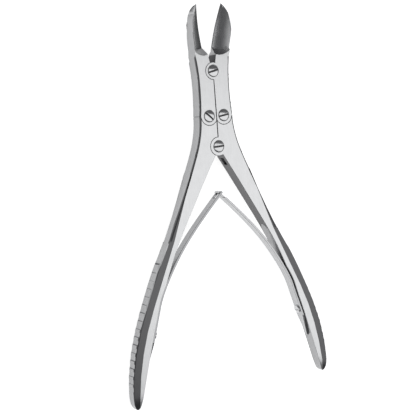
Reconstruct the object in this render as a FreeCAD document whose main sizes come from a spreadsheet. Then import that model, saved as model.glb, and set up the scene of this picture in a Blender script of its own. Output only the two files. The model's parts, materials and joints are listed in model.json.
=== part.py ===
import FreeCAD, Part
import math
import os
import Sketcher
from FreeCAD import Placement, Rotation, Vector

# Bone cutting forceps, double action, about 185 mm long, in millimetres.
# Plan frame while building: the handle pivot is the origin, +Y runs to the blade tips,
# +Z is the front face and the middle of the steel is at Z 0. Both halves are drawn as the
# right-hand one and mirrored by side = -1. The forceps are drawn open, as at rest.

SIZES = {
    "thickness": (7.2, "joint, front face to back face"),
    "pivot_distance": (35.5, "handle pivot to jaw pivot, forceps open"),
    "link_rise": (14.5, "handle pivot up to the link screws"),
    "link_offset": (3.9, "centre line out to each link screw"),
    "seam": (0.3, "gap along the centre line where the halves meet"),
    "gap": (0.1, "running clearance between ear, tongue and slot"),
    "tongue_thickness": (2.8, "middle tongues of the four joints"),
    "pivot_ear_radius": (4.0, "ears and tongue round the jaw pivot"),
    "handle_ear_radius": (4.4, "ears and tongue round the handle pivot"),
    "link_ear_radius": (4.3, "ears of the jaw tails round the link screws"),
    "cheek": (0.6, "steel left outside each link ear"),
    "jaw_half_angle": (11.2, "turn of each jaw from open to closed"),
    "blade_reach": (32.0, "jaw pivot to blade tip"),
    "blade_width": (7.8, "cutting edge to outer face of one blade"),
    "blade_tip_thickness": (0.9, "blade tip"),
    "blade_front_rise": (0.8, "front of the blade tip above the front face"),
    "blade_back_start": (3.0, "jaw pivot up to where the back of the blades starts to rise"),
    "edge_backset": (0.3, "each cutting edge short of the centre line when closed"),
    "edge_land": (0.16, "thickness left along the cutting edge"),
    "throat_backset": (0.6, "inner face below the blades short of the centre line"),
    "edge_bend_start": (8.0, "jaw pivot up to where the cutting edges bend forward"),
    "edge_bend_radius": (57.0, "radius of the forward bend of the cutting edges"),
    "edge_sink": (1.5, "cutting edge behind the middle of the steel at its lower end"),
    "hollow_radius": (18.0, "concave grind of the blades"),
    "hollow_angle": (14.0, "slope of the grind at the cutting edge"),
    "hollow_start": (7.8, "jaw pivot up to the lower rim of the grind"),
    "hollow_corner": (4.5, "corner of the grind beside the outer face"),
    "hollow_rim": (0.2, "steel left between the grind window and the outer face"),
    "hollow_draft": (38.0, "slope of the lower wall of the grind"),
    "handle_reach": (117.7, "handle pivot down to the handle ends"),
    "end_half_thickness": (2.5, "half thickness of the handle ends"),
    "crown": (0.7, "rounding of the outer face of the handles"),
    "crown_step": (1.25, "further height of the gripping face"),
    "crown_half": (1.1, "half width of the crest of the gripping face"),
    "bevel_width": (3.6, "bevel beside the gripping face"),
    "bevel_drop": (0.95, "fall of that bevel"),
    "slot_runout": (9.4, "end of the handle fork slot, below the pivot"),
    "slot_runout_depth": (1.2, "depth of the slot run-out in the inner face"),
    "serration_count": (17, "grooves on each gripping face"),
    "serration_start": (51.0, "handle pivot down to the first groove"),
    "serration_pitch": (3.54, "from groove to groove, measured down the handle"),
    "serration_radius": (1.8, "radius of the groove cutter"),
    "serration_depth": (0.5, "depth of the grooves at the crest"),
    "screw_shank_radius": (1.5, "pivot screws"),
    "screw_head_radius": (2.8, "pivot screws"),
    "screw_head_depth": (0.9, "head sunk into the front ear"),
    "screw_dome": (0.5, "rise of the head above the front face"),
    "screw_slot_width": (0.75, "driver slot"),
    "screw_slot_depth": (0.75, "driver slot"),
    "screw_end_recess": (0.05, "screw end below the back face"),
    "screw_fit": (0.02, "radial clearance of a screw in its own ears"),
    "bore_fit": (0.06, "radial clearance of a screw in the tongue that turns on it"),
    "open_fit": (0.12, "radial clearance at the jaw pivot, where the linkage is opened"),
    "spring_thickness": (1.1, "leaf springs"),
    "spring_foot_width": (5.1, "leaf springs at the clamp screw"),
    "spring_top_width": (4.6, "leaf springs at the crossing"),
    "spring_crossing": (22.4, "handle pivot down to where the leaf springs cross"),
    "spring_crossing_angle": (45.0, "slope of each spring at the crossing"),
    "spring_overrun": (3.2, "spring end beyond the crossing"),
    "spring_clamp_top": (72.0, "handle pivot down to the top of the clamped stretch"),
    "spring_foot_end": (98.6, "handle pivot down to the pointed foot of the springs"),
    "spring_foot_taper": (11.0, "length of the pointed foot"),
    "spring_foot_tip_half": (0.6, "half width at the very foot"),
    "spring_screw_drop": (84.3, "handle pivot down to the spring screws"),
    "spring_gap": (0.1, "spring to the bed that holds it"),
    "spring_proud": (0.9, "inner face of the spring in front of the inner face of the handle"),
    "spring_bed_spread": (0.4, "widening of the bed from the clamp to the end of the spring"),
    "tongue_half_width": (1.0, "neck of the hooked spring end"),
    "fork_gap": (0.3, "neck of the hooked end to each prong"),
    "hook_length": (0.9, "cross piece at the hooked end"),
    "fork_root": (3.0, "crossing back to the root of neck and fork"),
    "spring_screw_head_radius": (2.05, "spring screws"),
    "spring_screw_head": (1.2, "height of the spring screw heads"),
    "spring_screw_shank_radius": (1.2, "spring screws"),
    "spring_screw_length": (4.2, "spring screw shank below the head"),
    "spring_screw_slot": (0.6, "driver slot of the spring screws"),
}

# Outline of the right handle: distance below the handle pivot, then distance from the centre line.
INNER_EDGE = ((6.7, 3.6), (15.0, 8.6), (25.0, 14.4), (40.0, 23.0), (50.0, 28.0), (60.0, 32.4),
              (70.0, 36.5), (80.0, 40.1), (90.0, 43.0), (98.0, 45.2), (108.0, 47.6), (124.0, 50.7))
OUTER_EDGE = ((-7.5, 9.5), (0.0, 11.4), (7.5, 14.3), (22.0, 20.5), (38.0, 28.1), (52.5, 35.4),
              (67.0, 42.0), (80.0, 47.2), (92.0, 50.9), (103.5, 53.0), (112.0, 53.5), (124.0, 53.2))
# Growth of the bevel and crown of the gripping face: distance below the handle pivot, then share.
GROWTH = ((2.0, -0.25), (10.0, 0.02), (22.0, 0.2), (34.0, 0.45), (46.0, 0.82), (58.0, 1.0),
          (80.0, 1.0), (104.0, 0.95), (124.0, 0.6))
# Growth of the further height of the gripping face, by the same distance.
STEP = ((44.0, 0.0), (47.0, 0.0), (53.0, 1.0), (124.0, 1.0))
# Half thickness of the handle: distance below the handle pivot, then share of the way to the end.
THINNING = ((15.0, 0.0), (40.0, 0.25), (80.0, 0.6), (100.0, 0.82), (120.0, 1.0))
GRIP_STATIONS = 13

# Outer edge of the jaw between the blade and the link screw, from the jaw pivot, forceps open.
JAW_WAIST = ((9.1, 4.5), (8.6, 0.0), (8.35, -4.5), (8.3, -9.5), (8.5, -15.5))
# Outer edge of the blade from tip to root: share of the blade width, share of the blade reach.
BLADE_OUTLINE = ((0.53, 0.9), (0.88, 0.73), (0.985, 0.55), (1.0, 0.36))

# Inner face of the free stretch of the springs: distance below the handle pivot, then distance
# from the centre line.
SPRING_PATH = ((61.8, 31.7), (48.0, 22.8), (34.3, 11.0))

DOC = FreeCAD.newDocument("forceps")
SHEET = DOC.addObject("Spreadsheet::Sheet", "Sizes")


def fill_sheet():
    for row, (alias, (value, note)) in enumerate(SIZES.items(), start=1):
        SHEET.set(f"A{row}", alias)
        SHEET.set(f"B{row}", str(value))
        SHEET.set(f"C{row}", note)
        SHEET.setAlias(f"B{row}", alias)
    DOC.recompute()


def size(alias):
    return float(SHEET.get(alias))


def flat(point, side=1):
    return Vector(side * point[0], point[1], 0)


def smooth(table, station):
    """Value of a table of (station, value) pairs, with a smooth curve between them."""
    last = len(table) - 1

    def slope(index):
        before = table[max(index - 1, 0)]
        after = table[min(index + 1, last)]
        return (after[1] - before[1]) / (after[0] - before[0])

    index = 0
    while index < last - 1 and station > table[index + 1][0]:
        index += 1
    (start, low), (end, high) = table[index], table[index + 1]
    span = end - start
    share = (station - start) / span
    rise = share * share * (3 - 2 * share)
    return (low + (high - low) * rise
            + span * share * (1 - share) * ((1 - share) * slope(index) - share * slope(index + 1)))


def outline(start, *steps, side=1):
    """Closed outline from lines, arcs through a middle point and curves through points."""
    edges = []
    here = flat(start, side)
    for kind, *points in steps:
        points = [flat(point, side) for point in points]
        if kind == "line":
            edges.append(Part.LineSegment(here, points[0]))
        elif kind == "arc":
            edges.append(Part.Arc(here, points[0], points[1]))
        else:
            curve = Part.BSplineCurve()
            curve.interpolate([here] + points)
            edges.append(curve)
        here = points[-1]
    if here.distanceToPoint(flat(start, side)) > 1e-6:
        edges.append(Part.LineSegment(here, flat(start, side)))
    return edges


def polygon(*points, side=1):
    return outline(points[0], *(("line", point) for point in points[1:]), side=side)


def new_body(label):
    body = DOC.addObject("PartDesign::Body", label)
    body.Label = label
    return body


def base_plane(body, role):
    return next(feature for feature in body.Origin.OriginFeatures if feature.Role == role)


def add_sketch(body, name, edges, role="XY_Plane", along=None):
    sketch = body.newObject("Sketcher::SketchObject", name)
    sketch.AttachmentSupport = [(base_plane(body, role), "")]
    sketch.MapMode = "FlatFace"
    if along:
        sketch.setExpression("AttachmentOffset.Base.z", along)
    for edge in edges:
        sketch.addGeometry(edge, False)
    return sketch


def add_circle_sketch(body, name, centre, radius, along=None):
    """Sketch of one circle whose radius is an expression of the sheet."""
    sketch = add_sketch(body, name, [], along=along)
    start_radius = 1.0
    sketch.addGeometry(Part.Circle(flat(centre), Vector(0, 0, 1), start_radius), False)
    sketch.addConstraint(Sketcher.Constraint("Radius", 0, start_radius))
    sketch.setExpression("Constraints[0]", radius)
    return sketch


def pad(body, name, sketch, height):
    feature = body.newObject("PartDesign::Pad", name)
    feature.Profile = sketch
    feature.setExpression("Length", height)
    sketch.Visibility = False
    return feature


def pocket(body, name, sketch, depth=None):
    """Pocket below the sketch, or on both sides of it through everything."""
    feature = body.newObject("PartDesign::Pocket", name)
    feature.Profile = sketch
    if depth:
        feature.setExpression("Length", depth)
    else:
        feature.Type = "ThroughAll"
        feature.Midplane = True
    sketch.Visibility = False
    return feature


BACK = "-Sizes.thickness / 2"
FRONT = "Sizes.thickness / 2"
FULL = "Sizes.thickness"
# How far tools and blanks run past the surfaces that they cut or leave.
PAST = 2
TONGUE_BACK = "-Sizes.tongue_thickness / 2"
SLOT_FRONT = "Sizes.tongue_thickness / 2 + Sizes.gap"
SLOT_DEPTH = "Sizes.tongue_thickness + 2 * Sizes.gap"
EAR_BED = "(Sizes.thickness - Sizes.tongue_thickness) / 2"
JAW_PIVOT_CLEAR = "Sizes.pivot_ear_radius + Sizes.gap"
HANDLE_PIVOT_CLEAR = "Sizes.handle_ear_radius + Sizes.gap"


def add_fork(body, radius):
    """Slot between the front and back ears round a pivot."""
    slot = add_circle_sketch(body, "slot_sketch", (0, 0), radius, SLOT_FRONT)
    pocket(body, "slot", slot, SLOT_DEPTH)


def add_beds(body, name, centre, radius):
    """Beds in front and back for two ears, which leave a tongue between them."""
    front_bed = add_circle_sketch(body, name + "_front_bed_sketch", centre, radius, FRONT)
    back_bed = add_circle_sketch(body, name + "_back_bed_sketch", centre, radius, TONGUE_BACK)
    pocket(body, name + "_front_bed", front_bed, EAR_BED)
    pocket(body, name + "_back_bed", back_bed, EAR_BED)


def add_bore(body, name, centre, clearance):
    bore = add_circle_sketch(body, name + "_sketch", centre,
                             "Sizes.screw_shank_radius + Sizes." + clearance)
    pocket(body, name, bore)


def add_counterbore(body, name, centre):
    bore = add_circle_sketch(body, name + "_sketch", centre,
                             "Sizes.screw_head_radius + Sizes.screw_fit", FRONT)
    pocket(body, name, bore, "Sizes.screw_head_depth + Sizes.screw_fit")


def joint_half_width():
    """Half width of the forceps at the link screws."""
    return size("link_offset") + size("link_ear_radius") + size("gap") + size("cheek")


def across_seam(radius):
    """Height above a link screw at which a circle of this radius round it meets the seam."""
    return math.sqrt(radius ** 2 - (size("link_offset") - size("seam") / 2) ** 2)


def scaled(table):
    """Handle outline table fitted to the handle length."""
    drawn_reach = 117.7
    share = size("handle_reach") / drawn_reach
    return tuple((station * share if station > 0 else station, value) for station, value in table)


def inner_edge(drop):
    return smooth(scaled(INNER_EDGE), drop)


def raised(drop):
    """Share of the further height of the gripping face at this distance below the pivot."""
    table = scaled(STEP)
    return smooth(table, max(drop, table[0][0]))


def outer_edge(drop):
    top = ((-size("link_rise"), joint_half_width()),)
    return smooth(top + scaled(OUTER_EDGE), drop) + size("crown_step") * raised(drop)


def handle_blank(body, side):
    """Handle in plan, from the tongue at the link screw down past its end, at full thickness."""
    half_seam = size("seam") / 2
    link_x, link_y = size("link_offset"), size("link_rise")
    tongue = size("link_ear_radius") - size("gap")
    ear = size("handle_ear_radius")
    inner = [(x, -drop) for drop, x in scaled(INNER_EDGE)]
    drops = sorted([drop for drop, _ in scaled(OUTER_EDGE)] + [drop for drop, _ in scaled(STEP)[:-1]])
    outer = [(outer_edge(drop), -drop) for drop in drops]
    crotch = flat(inner[0])
    lean = math.atan2(inner[1][0] - inner[0][0], inner[0][1] - inner[1][1])
    up = Vector(-math.sin(lean), math.cos(lean), 0)
    along = crotch.dot(up)
    meet = crotch - up * (along + math.sqrt(ear ** 2 - (crotch - up * along).Length ** 2))
    edges = outline(
        (half_seam, link_y + across_seam(tongue)),
        ("arc", (link_x, link_y + tongue), (link_x + tongue, link_y)),
        ("line", (joint_half_width(), link_y)),
        ("curve", *outer),
        ("line", inner[-1]),
        ("curve", *inner[-2:0:-1], inner[0]),
        ("line", meet[:2]),
        ("arc", (-ear, 0), (half_seam, math.sqrt(ear ** 2 - half_seam ** 2))),
        side=side)
    pad(body, "blank", add_sketch(body, "blank_sketch", edges, along=BACK), FULL)


def handle_half(drop):
    """Half thickness of the handle at this distance below the pivot."""
    root, end = size("thickness") / 2, size("end_half_thickness")
    return root + (end - root) * smooth(scaled(THINNING), drop)


def thinning(body):
    """Cuts that thin the handle towards its end, on the front and the back."""
    drops = [drop for drop, _ in scaled(THINNING)]
    root, first, last = size("thickness") / 2, drops[0], drops[-1]
    for face in (1, -1):
        slope = [(-drop, face * handle_half(drop)) for drop in drops[1:]]
        edges = outline((-first + 1, face * (root + 0.03)), ("curve", *slope),
                        ("line", (-last, face * (root + PAST))), ("line", (-first + 1, face * (root + PAST))))
        pocket(body, "thinning", add_sketch(body, "thinning_sketch", edges, role="YZ_Plane"))


def bevel_section(drop):
    """Section of what is cut off round the gripping face: two bevels and the flanks of the crest."""
    growth = smooth(scaled(GROWTH), drop)
    half, outer = handle_half(drop), outer_edge(drop)
    crown, clear = size("crown") * growth + size("crown_step") * raised(drop), 0.3
    slope = size("bevel_drop") / size("bevel_width")
    shoulder = half - size("bevel_drop") * growth
    crest = size("crown_half")
    fall = (half - size("bevel_drop") - crest) / max(crown, size("crown"))
    reach = size("bevel_width") * growth + PAST
    edge = outer - crown + 0.03
    front = ((edge - reach, shoulder + reach * slope), (edge, shoulder),
             (outer + clear, crest - clear * fall))
    back = tuple((x, -z) for x, z in reversed(front))
    round_outside = ((edge - reach, -half - PAST), (outer + PAST, -half - PAST),
                     (outer + PAST, half + PAST), (edge - reach, half + PAST))
    return front + back + round_outside


def grip_bevels(body, side):
    """Bevels and rounded crest of the gripping face."""
    table = scaled(GROWTH)
    first, last = table[0][0], table[-1][0] - PAST
    sketches = []
    for index in range(GRIP_STATIONS):
        drop = first + (last - first) * index / (GRIP_STATIONS - 1)
        sketch = add_sketch(body, "bevel_section", polygon(*bevel_section(drop), side=side),
                            role="XZ_Plane")
        sketch.AttachmentOffset = Placement(Vector(0, 0, drop), Rotation())
        sketches.append(sketch)
    loft = body.newObject("PartDesign::SubtractiveLoft", "grip_bevels")
    loft.Profile = sketches[0]
    loft.Sections = sketches[1:]
    loft.Ruled = True


def handle_end(body, side):
    """Rounds the end of the handle in the front view."""
    reach = size("handle_reach")
    rounding = 5.2
    outer_drop, inner_drop = reach - rounding * 1.15, reach - rounding * 0.85
    outer, inner = outer_edge(outer_drop), inner_edge(inner_drop)
    margin = 9.0
    edges = outline(
        (inner, -inner_drop),
        ("curve", (inner + 0.9, -reach + 0.9), (inner + 0.53 * (outer - inner), -reach),
         (outer - 0.5, -reach + 1.6), (outer, -outer_drop)),
        ("line", (outer + margin, -outer_drop)),
        ("line", (outer + margin, -reach - margin)),
        ("line", (inner - margin, -reach - margin)),
        ("line", (inner - margin, -inner_drop)),
        side=side)
    pocket(body, "rounded_end", add_sketch(body, "rounded_end_sketch", edges))


def serrations(body, side):
    """Row of transverse grooves across the crest of the gripping face."""
    sketch = add_sketch(body, "serration_sketch", [])
    for index in range(int(size("serration_count"))):
        drop = size("serration_start") + index * size("serration_pitch")
        step = 0.5
        run = outer_edge(drop + step) - outer_edge(drop - step)
        length = math.hypot(run, 2 * step)
        lift = size("serration_radius") - size("serration_depth")
        centre = (outer_edge(drop) + lift * 2 * step / length, -drop + lift * run / length)
        circle = Part.Circle(flat(centre, side), Vector(0, 0, 1), size("serration_radius"))
        sketch.addGeometry(circle, False)
    pocket(body, "serrations", sketch)


def clamp_line(side):
    """Point at the spring screw, direction down the clamped stretch and direction into the handle."""
    top, foot = size("spring_clamp_top"), size("spring_foot_end")
    start = Vector(inner_edge(top), -top, 0)
    down = Vector(inner_edge(foot), -foot, 0) - start
    down.normalize()
    into = Vector(-down.y, down.x, 0)
    screw = start + down * ((size("spring_screw_drop") - top) / -down.y) - into * size("spring_proud")
    for vector in (screw, down, into):
        vector.x *= side
    return screw, down, into


def along_clamp(drop, inward):
    """Point of the right-hand clamped stretch at this drop, this far into the handle."""
    screw, down, into = clamp_line(1)
    point = screw + down * ((-drop - screw.y) / down.y) + into * inward
    return (point.x, point.y)


def spring_curve(inward, spread=0.0):
    """Free stretch of the right-hand spring, from the top of the clamp to the end past the crossing.

    It runs this far behind the inner face, and by the spread further at the crossing.
    """
    _, down, _ = clamp_line(1)
    angle = math.radians(size("spring_crossing_angle"))
    up = Vector(-math.sin(angle), math.cos(angle), 0)
    outward = Vector(math.cos(angle), math.sin(angle), 0)
    start = flat(along_clamp(size("spring_clamp_top"), 0))
    crossing = Vector(0, -size("spring_crossing"), 0) - outward * (size("spring_thickness") / 2)
    path = Part.BSplineCurve()
    path.interpolate(Points=[start] + [Vector(x, -drop, 0) for drop, x in SPRING_PATH] + [crossing],
                     InitialTangent=down * -1, FinalTangent=up)
    points = []
    steps = 8
    for index in range(steps + 1):
        share = index / steps
        at = path.FirstParameter + (path.LastParameter - path.FirstParameter) * share
        ahead = path.tangent(at)[0]
        aside = Vector(ahead.y, -ahead.x, 0)
        points.append(path.value(at) + aside * (inward + spread * share))
    curve = Part.BSplineCurve()
    curve.interpolate(Points=points, InitialTangent=down * -1, FinalTangent=up)
    end = points[-1] + up * size("spring_overrun")
    return curve, end


def mirrored(curve, side):
    if side < 0:
        curve.mirror(Vector(0, 0, 0), Vector(0, 1, 0))
    return curve


def closed_loop(curves, corners, side):
    """Edges of curves joined by straight lines through the corners between them."""
    edges = []
    for curve, between in zip(curves, corners):
        edges.append(mirrored(curve.copy(), side))
        points = [flat(point, side) for point in between]
        edges += [Part.LineSegment(a, b) for a, b in zip(points, points[1:])]
    return edges


def plane_at_clamp(sketch, side, back_off=0.0):
    """Lays a sketch on the inner face at the spring screw: x runs down, the normal away from the handle."""
    screw, down, into = clamp_line(side)
    away = into * -1
    across = away.cross(down)
    rotation = Rotation(down, across, away, "ZXY")
    sketch.AttachmentOffset = Placement(screw + away * back_off, rotation)


def foot_outline(clearance):
    """Outline of the pointed foot on the clamp plane, measured down from the screw."""
    slant = 1 / -clamp_line(1)[1].y
    tip = (size("spring_foot_end") - size("spring_screw_drop")) * slant + clearance
    shoulder = tip - size("spring_foot_taper") * slant - clearance
    half_tip = size("spring_foot_tip_half") + clearance
    half = size("spring_foot_width") / 2 + clearance
    return tip, shoulder, half_tip, half


def spring_bed(body, side):
    """Bed of the spring in the inner face: full width above, pointed at the foot."""
    depth = size("spring_thickness") + size("spring_gap")
    curve, _ = spring_curve(depth, size("spring_bed_spread"))
    tip, shoulder, half_tip, half = foot_outline(size("spring_gap"))
    shoulder_drop = size("spring_screw_drop") + shoulder * -clamp_line(1)[1].y
    foot = along_clamp(shoulder_drop, depth)
    start = along_clamp(size("spring_clamp_top"), depth)
    free = 8.0
    corners = [(end_of(curve), (end_of(curve)[0] - free, end_of(curve)[1]),
                (foot[0] - free, foot[1] + 2), along_clamp(shoulder_drop, -free), foot, start)]
    edges = closed_loop([curve], corners, side)
    pocket(body, "spring_bed", add_sketch(body, "spring_bed_sketch", edges))
    sketch = add_sketch(body, "foot_bed_sketch", [])
    plane_at_clamp(sketch, side, back_off=PAST)
    overlap = 3.0
    for edge in polygon((shoulder - overlap, -half), (shoulder, -half), (tip - half_tip, -half_tip),
                        (tip, 0), (tip - half_tip, half_tip), (shoulder, half),
                        (shoulder - overlap, half)):
        sketch.addGeometry(edge, False)
    pocket(body, "foot_bed", sketch, f"Sizes.spring_thickness + Sizes.spring_gap + {PAST}")


def end_of(curve):
    point = curve.value(curve.LastParameter)
    return (point.x, point.y)


def spring_screw_hole(body, side, depth):
    sketch = add_sketch(body, "spring_screw_hole_sketch", [])
    plane_at_clamp(sketch, side, back_off=PAST)
    sketch.addGeometry(Part.Circle(Vector(), Vector(0, 0, 1), size("spring_screw_shank_radius")
                                   + size("screw_fit")), False)
    pocket(body, "spring_screw_hole", sketch, depth)


def make_handle(label, side, forked):
    body = new_body(label)
    handle_blank(body, side)
    thinning(body)
    grip_bevels(body, side)
    handle_end(body, side)
    serrations(body, side)
    spring_bed(body, side)
    spring_screw_hole(body, side, f"Sizes.spring_screw_length + {PAST + 0.2}")
    link = (side * size("link_offset"), size("link_rise"))
    add_beds(body, "link", link, "Sizes.link_ear_radius + Sizes.gap")
    if forked:
        add_fork(body, HANDLE_PIVOT_CLEAR)
        run = size("slot_runout")
        deep = size("slot_runout_depth")
        edges = polygon((0, 0), (inner_edge(run) - 1, -run + 1.4), (inner_edge(run), -run),
                        (inner_edge(run) + deep, -run + 1.6), (size("handle_ear_radius"), 0), side=side)
        pocket(body, "slot_runout", add_sketch(body, "slot_runout_sketch", edges, along=SLOT_FRONT),
               SLOT_DEPTH)
        add_bore(body, "pivot_bore", (0, 0), "screw_fit")
        add_counterbore(body, "pivot_counterbore", (0, 0))
    else:
        add_beds(body, "pivot", (0, 0), HANDLE_PIVOT_CLEAR)
        add_bore(body, "pivot_bore", (0, 0), "bore_fit")
    add_bore(body, "link_bore", link, "bore_fit")
    return body


def to_jaw(point):
    """Point of the open plan, from the jaw pivot, in the frame of the closed right jaw."""
    angle = math.radians(size("jaw_half_angle"))
    x, y = point
    return (x * math.cos(angle) - y * math.sin(angle), x * math.sin(angle) + y * math.cos(angle))


def link_in_jaw():
    return (size("link_offset"), size("link_rise") - size("pivot_distance"))


def jaw_outline(side):
    half_seam = size("seam") / 2
    link_x, link_y = link_in_jaw()
    ear, pivot_ear = size("link_ear_radius"), size("pivot_ear_radius")
    reach, width = size("blade_reach"), size("blade_width")
    edge, throat = size("edge_backset"), size("throat_backset")
    blade = [(width * across, reach * up) for across, up in BLADE_OUTLINE]
    waist = [to_jaw(point) for point in JAW_WAIST]
    shoulder = to_jaw((joint_half_width(), link_y + size("gap")))
    return outline(
        to_jaw((half_seam, link_y - across_seam(ear))),
        ("line", to_jaw((half_seam, -math.sqrt(pivot_ear ** 2 - half_seam ** 2)))),
        ("arc", (-pivot_ear, 0), (throat, math.sqrt(pivot_ear ** 2 - throat ** 2))),
        ("line", (throat, size("hollow_start"))),
        ("line", (edge, size("hollow_start") + 0.8)),
        ("line", (edge, reach)),
        ("curve", *blade, *waist, shoulder),
        ("line", to_jaw((link_x + ear, link_y + size("gap")))),
        ("line", to_jaw((link_x + ear, link_y))),
        ("arc", to_jaw((link_x, link_y - ear)), to_jaw((half_seam, link_y - across_seam(ear)))),
        side=side)


def front_height(distance):
    """Height of the front of a blade at this distance above the jaw pivot."""
    start = size("edge_bend_start")
    share = max(distance - start, 0) / (size("blade_reach") - start)
    return size("thickness") / 2 + size("blade_front_rise") * share ** 2


def back_height(distance):
    start, root = size("blade_back_start"), -size("thickness") / 2
    tip = size("thickness") / 2 + size("blade_front_rise") - size("blade_tip_thickness")
    share = (distance - start) / (size("blade_reach") - start)
    return root + (tip - root) * share ** 2


def side_profile():
    """What is cut away above the front and below the back of a jaw, seen from the side."""
    root, start = size("thickness") / 2, size("blade_back_start")
    end = size("blade_reach") + 1
    stations = [start + (end - start) * share for share in (0.3, 0.5, 0.75, 1.0)]
    upper = [(y, front_height(y)) for y in stations]
    lower = [(y, back_height(y)) for y in stations]
    low, high, tail = -root - 4, root + 9, -size("pivot_distance")
    above = outline((tail, root), ("line", (size("edge_bend_start"), root)), ("curve", *upper),
                    ("line", (end, high)), ("line", (tail, high)))
    below = outline((start - 2, -root - 0.2), ("curve", *lower), ("line", (end, low)),
                    ("line", (start - 2, low)))
    return above, below


def make_jaw_blank(label, side, forked):
    body = new_body(label + "_blank")
    blank = add_sketch(body, "outline_sketch", jaw_outline(side), along=BACK)
    pad(body, "blank", blank, f"Sizes.thickness + {2 * PAST}")
    above, below = side_profile()
    pocket(body, "front_face", add_sketch(body, "front_sketch", above, role="YZ_Plane"))
    pocket(body, "back_face", add_sketch(body, "back_sketch", below, role="YZ_Plane"))
    if forked:
        add_fork(body, JAW_PIVOT_CLEAR)
        add_bore(body, "pivot_bore", (0, 0), "screw_fit")
        add_counterbore(body, "pivot_counterbore", (0, 0))
    else:
        add_beds(body, "pivot", (0, 0), JAW_PIVOT_CLEAR)
        add_bore(body, "pivot_bore", (0, 0), "open_fit")
    link_x, link_y = to_jaw(link_in_jaw())
    link = (side * link_x, link_y)
    slot = add_circle_sketch(body, "link_slot_sketch", link,
                             "Sizes.link_ear_radius + Sizes.gap / 2", SLOT_FRONT)
    pocket(body, "link_slot", slot, SLOT_DEPTH)
    add_bore(body, "link_bore", link, "screw_fit")
    add_counterbore(body, "link_counterbore", link)
    return body


# How far the window of the grind starts behind the middle of the steel.
WINDOW_DEPTH = 2.2


def hollow_section(face, side):
    """Section of the concave grind: x from the cutting edge, y up from the bend axis."""
    radius = size("hollow_radius")
    slope = math.radians(size("hollow_angle"))
    axis_to_edge = size("edge_bend_radius")

    def point(angle):
        x = radius * (math.sin(angle) - math.sin(slope))
        rise = radius * (math.cos(slope) - math.cos(angle)) + size("edge_land") / 2
        return (x, face * rise - axis_to_edge)

    steep, past = math.radians(62), 1.5
    top = face * (radius * 0.7) - axis_to_edge
    low = point(slope)
    return outline((-past, low[1]), ("line", low), ("arc", point((slope + steep) / 2), point(steep)),
                   ("line", (point(steep)[0], top)), ("line", (-past, top)), side=side)


def hollow_window(side):
    """Window of the grind in the front view, at the depth of the cutting edge."""
    climb = size("thickness") / 2 + WINDOW_DEPTH
    start = size("hollow_start") + climb * math.tan(math.radians(size("hollow_draft")))
    right = size("blade_width") - size("hollow_rim") - size("hollow_corner") * 0.55
    corner = size("hollow_corner")
    far = size("blade_reach") + 6
    bulge = corner * (1 - math.sqrt(0.5))
    return outline((-1.5, start), ("line", (right - corner, start)),
                   ("arc", (right - bulge, start + bulge), (right, start + corner)),
                   ("line", (right, far)), ("line", (-1.5, far)), side=side)


def make_hollow(label, face, side):
    """Cutter for the concave grind on the front (face 1) or back (face -1) of a blade."""
    section = DOC.addObject("Sketcher::SketchObject", label + "_section")
    for edge in hollow_section(face, side):
        section.addGeometry(edge, False)
    centre = Vector(0, size("edge_bend_start"), size("edge_bend_radius") - size("edge_sink"))
    section.Placement = Placement(centre, Rotation(Vector(1, 0, 0), 90))
    sweep = DOC.addObject("Part::Revolution", label + "_sweep")
    sweep.Source = section
    sweep.Axis = Vector(1, 0, 0)
    sweep.Base = section.Placement.Base
    sweep.Angle = 32
    sweep.Solid = True
    plan = DOC.addObject("Sketcher::SketchObject", label + "_plan")
    for edge in hollow_window(side):
        plan.addGeometry(edge, False)
    plan.Placement = Placement(Vector(0, 0, -face * WINDOW_DEPTH), Rotation())
    window = DOC.addObject("Part::Extrusion", label + "_window")
    window.Base = plan
    window.DirMode = "Custom"
    window.Dir = Vector(0, 0, face)
    window.LengthFwd = size("thickness") + WINDOW_DEPTH
    window.Solid = True
    window.TaperAngle = size("hollow_draft")
    cutter = DOC.addObject("Part::MultiCommon", label)
    cutter.Shapes = [sweep, window]
    return cutter


def make_jaw(label, side, forked):
    blank = make_jaw_blank(label, side, forked)
    cutters = DOC.addObject("Part::MultiFuse", label + "_hollows")
    cutters.Shapes = [make_hollow(label + "_front_hollow", 1, side),
                      make_hollow(label + "_back_hollow", -1, side)]
    jaw = DOC.addObject("Part::Cut", label)
    jaw.Label = label
    jaw.Base = blank
    jaw.Tool = cutters
    return jaw


def dome_arc(half, low, high):
    """Outline step over half of a spherical dome, ending on the axis."""
    rise = high - low
    radius = (half ** 2 + rise ** 2) / (2 * rise)
    angle = math.asin(half / radius) / 2
    return ("arc", (radius * math.sin(angle), high - radius * (1 - math.cos(angle))), (0, high))


def make_pivot_screw(label):
    """Domed slotted screw along Z, its end flush with the back face."""
    body = new_body(label)
    half = size("thickness") / 2
    shank, head = size("screw_shank_radius"), size("screw_head_radius")
    seat = half - size("screw_head_depth")
    dome = size("screw_dome")
    end = -half + size("screw_end_recess")
    rim = 0.08
    edges = outline((0, end), ("line", (shank, end)), ("line", (shank, seat)), ("line", (head, seat)),
                    ("line", (head, half + rim)), dome_arc(head, half + rim, half + dome))
    sketch = add_sketch(body, "profile_sketch", edges, role="XZ_Plane")
    turned = body.newObject("PartDesign::Revolution", "turned")
    turned.Profile = sketch
    turned.ReferenceAxis = (sketch, ["V_Axis"])
    turned.Angle = 360
    DOC.recompute()
    reach, width = head + 1, size("screw_slot_width") / 2
    slot = add_sketch(body, "driver_slot_sketch",
                      polygon((-reach, -width), (reach, -width), (reach, width), (-reach, width)),
                      along="Sizes.thickness / 2 + Sizes.screw_dome")
    pocket(body, "driver_slot", slot, "Sizes.screw_slot_depth")
    return body


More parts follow.
